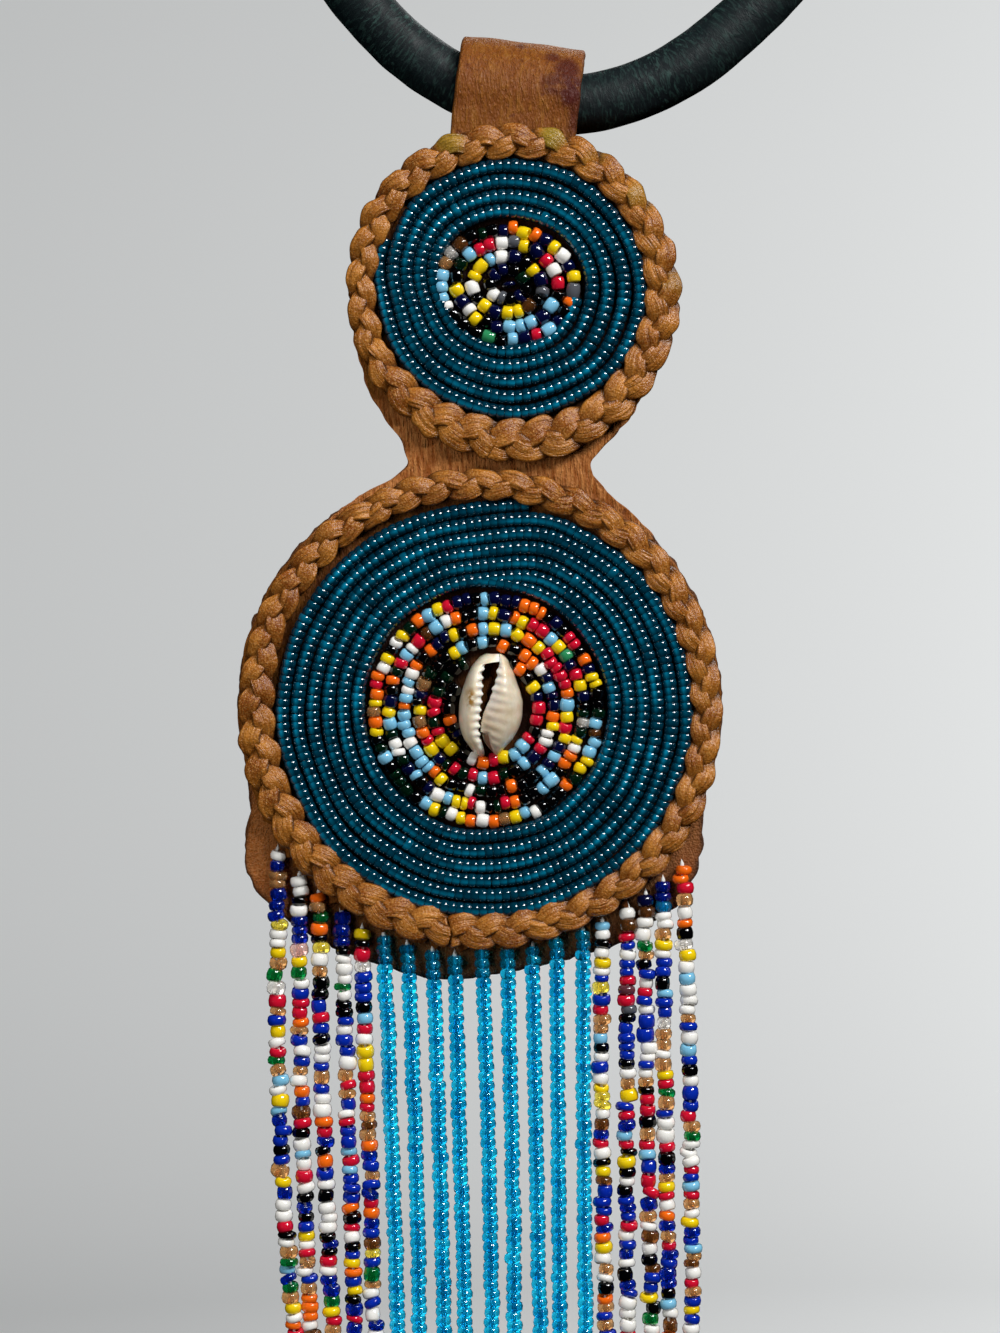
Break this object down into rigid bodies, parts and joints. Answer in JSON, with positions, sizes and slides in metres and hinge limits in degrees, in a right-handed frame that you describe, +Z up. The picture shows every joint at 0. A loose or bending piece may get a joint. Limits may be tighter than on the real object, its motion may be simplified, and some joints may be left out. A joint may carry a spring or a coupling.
{
  "type": "beaded fringe necklace",
  "caption": "Leather neck ring with a hanging two-disc leather pendant, beaded in rows, edged by braids, with a cut cowrie and a long fringe of bead strings.",
  "frame": {"origin": "the point inside the neck ring's top, beside the clasp, where it hangs on a peg", "axes": "+Z up as it hangs, -Y towards the beaded front, +X to the viewer's right"},
  "size_m": [0.1399, 0.0214, 0.3797],
  "materials": {
    "ring_leather": "smooth thin hide, dark blue-green, scratched, half gloss",
    "clasp_brass": "plain, aged, dull",
    "tan_leather": "undyed hide, creased, stained, half gloss",
    "dark_leather": "fibrous flesh side, dark brown, matt",
    "braid_leather": "narrow strips, creased, worn shiny on top",
    "teal_glass": "clear teal beads, glossy",
    "blue_glass": "clear turquoise beads, glossy",
    "mixed_glass": "beads of many colours, opaque and clear, glossy",
    "shell": "polished cream shell with a tan stain"
  },
  "bodies": {
    "neck": {"neck_ring": "ring_leather", "clasp": "clasp_brass"},
    "pendant": {"front_leather": "tan_leather", "back_leather": "dark_leather", "small_braid_a": "braid_leather", "small_braid_b": "braid_leather", "small_braid_c": "braid_leather", "large_braid_a": "braid_leather", "large_braid_b": "braid_leather", "large_braid_c": "braid_leather", "small_rows": "teal_glass", "small_centre": "mixed_glass", "large_rows": "teal_glass", "large_centre": "mixed_glass", "cowrie": "shell", "string_left_1": "mixed_glass", "string_left_2": "mixed_glass", "string_left_3": "mixed_glass", "string_left_4": "mixed_glass", "string_left_5": "mixed_glass", "string_blue_1": "blue_glass", "string_blue_2": "blue_glass", "string_blue_3": "blue_glass", "string_blue_4": "blue_glass", "string_blue_5": "blue_glass", "string_blue_6": "blue_glass", "string_blue_7": "blue_glass", "string_blue_8": "blue_glass", "string_blue_9": "blue_glass", "string_right_1": "mixed_glass", "string_right_2": "mixed_glass", "string_right_3": "mixed_glass", "string_right_4": "mixed_glass", "string_right_5": "mixed_glass"}
  },
  "joints": [
    {"name": "pendant_swing", "type": "hinge", "parent": "neck", "child": "pendant", "pos_m": [-0.00111, 0, -0.14365], "axis": [0.9893, 0, -0.1461], "range_deg": [-45, 45]}
  ]
}
